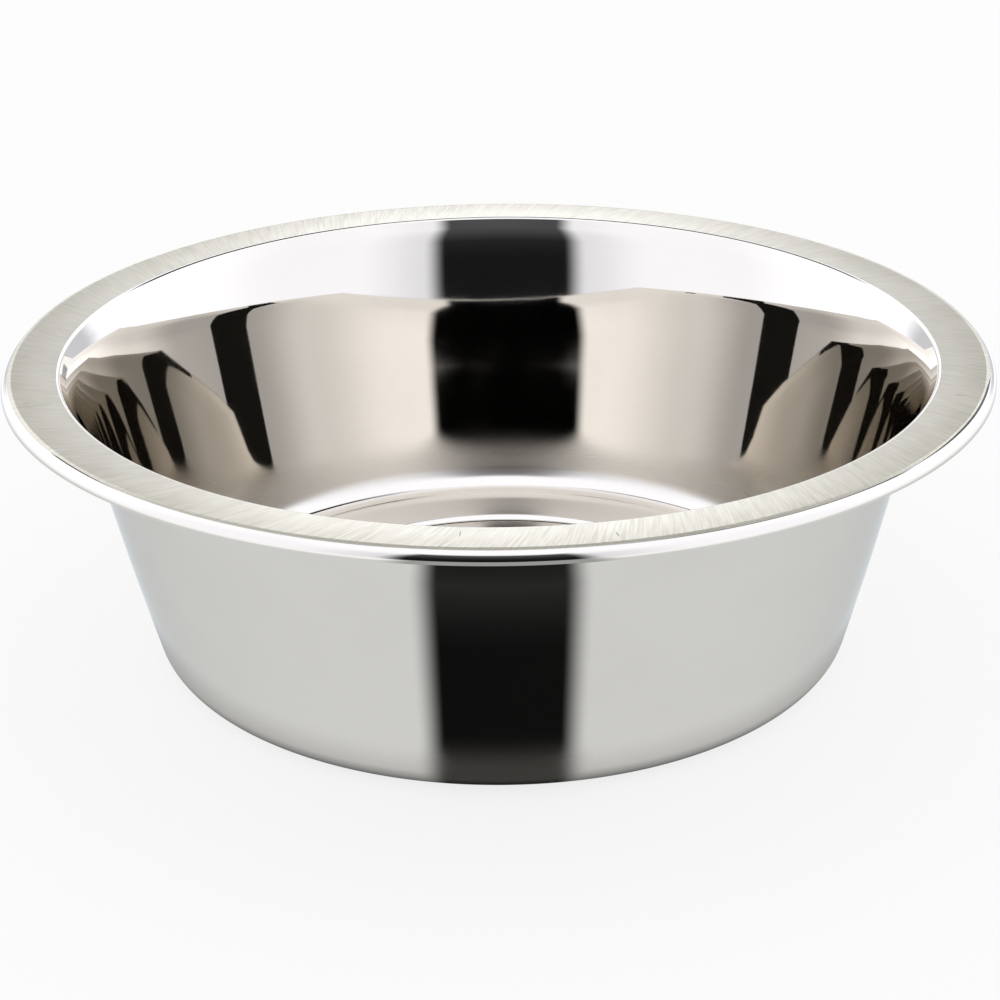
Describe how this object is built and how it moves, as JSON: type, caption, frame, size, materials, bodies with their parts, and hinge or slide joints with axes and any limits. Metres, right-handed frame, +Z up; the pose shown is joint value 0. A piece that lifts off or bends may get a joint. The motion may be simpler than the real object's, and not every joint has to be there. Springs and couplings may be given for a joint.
{
  "type": "dog bowl",
  "caption": "Round drawn steel feeding bowl with a leaning wall, a broad satin rim, a turned down lip and a stepped flat foot to stand on.",
  "frame": {"origin": "on the bowl's axis, on the surface that its foot stands on", "axes": "+Z up along the bowl's axis; the bowl is round, so +X and +Y are any two level directions"},
  "size_m": [0.267, 0.267, 0.0855],
  "materials": {
    "steel": "mirror polished stainless steel inside and out, satin brushed on the rim's top face"
  },
  "bodies": {
    "root": {"bowl": "steel"}
  },
  "joints": []
}
